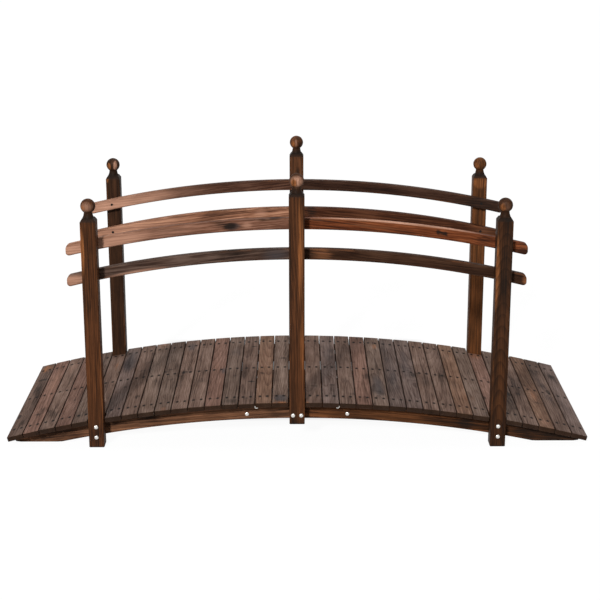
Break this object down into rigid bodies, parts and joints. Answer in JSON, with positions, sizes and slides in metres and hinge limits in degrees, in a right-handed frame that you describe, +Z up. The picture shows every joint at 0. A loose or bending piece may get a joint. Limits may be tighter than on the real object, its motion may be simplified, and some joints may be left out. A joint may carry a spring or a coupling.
{
  "type": "arched timber garden footbridge",
  "caption": "Low moon bridge for a garden: an arched plank deck on curved stringers, with ball-topped posts and two curved handrails along each side.",
  "frame": {"origin": "on the ground under the middle of the bridge, halfway across and halfway along", "axes": "+X along the bridge, to the right as one looks at its front side; +Y across it, towards the back side; +Z up"},
  "size_m": [2.2894, 0.8596, 1.0948],
  "materials": {
    "deck_boards": "brown stained and weathered, rough sawn, with scorched and bluish patches",
    "frame_timber": "red-brown stain, satin, coarse grain",
    "posts": "dark brown scorched stain over orange grain, satin",
    "handrails": "red-brown stain, satin, smoothed edges",
    "bolts": "zinc plated"
  },
  "bodies": {
    "root": {"boards_left_end": "deck_boards", "board_left_posts": "deck_boards", "boards_left_outer": "deck_boards", "boards_left_inner": "deck_boards", "board_middle_posts": "deck_boards", "boards_right_inner": "deck_boards", "boards_right_outer": "deck_boards", "board_right_posts": "deck_boards", "boards_right_end": "deck_boards", "stringer_front_left": "frame_timber", "stringer_front_right": "frame_timber", "splice_front": "frame_timber", "stringer_centre_left": "frame_timber", "stringer_centre_right": "frame_timber", "splice_centre": "frame_timber", "stringer_back_left": "frame_timber", "stringer_back_right": "frame_timber", "splice_back": "frame_timber", "post_front_left": "posts", "post_front_middle": "posts", "post_front_right": "posts", "rail_front_upper_left": "handrails", "rail_front_upper_right": "handrails", "rail_front_lower_left": "handrails", "rail_front_lower_right": "handrails", "post_bolts_front": "bolts", "post_back_left": "posts", "post_back_middle": "posts", "post_back_right": "posts", "rail_back_upper_left": "handrails", "rail_back_upper_right": "handrails", "rail_back_lower_left": "handrails", "rail_back_lower_right": "handrails", "post_bolts_back": "bolts"}
  },
  "joints": []
}
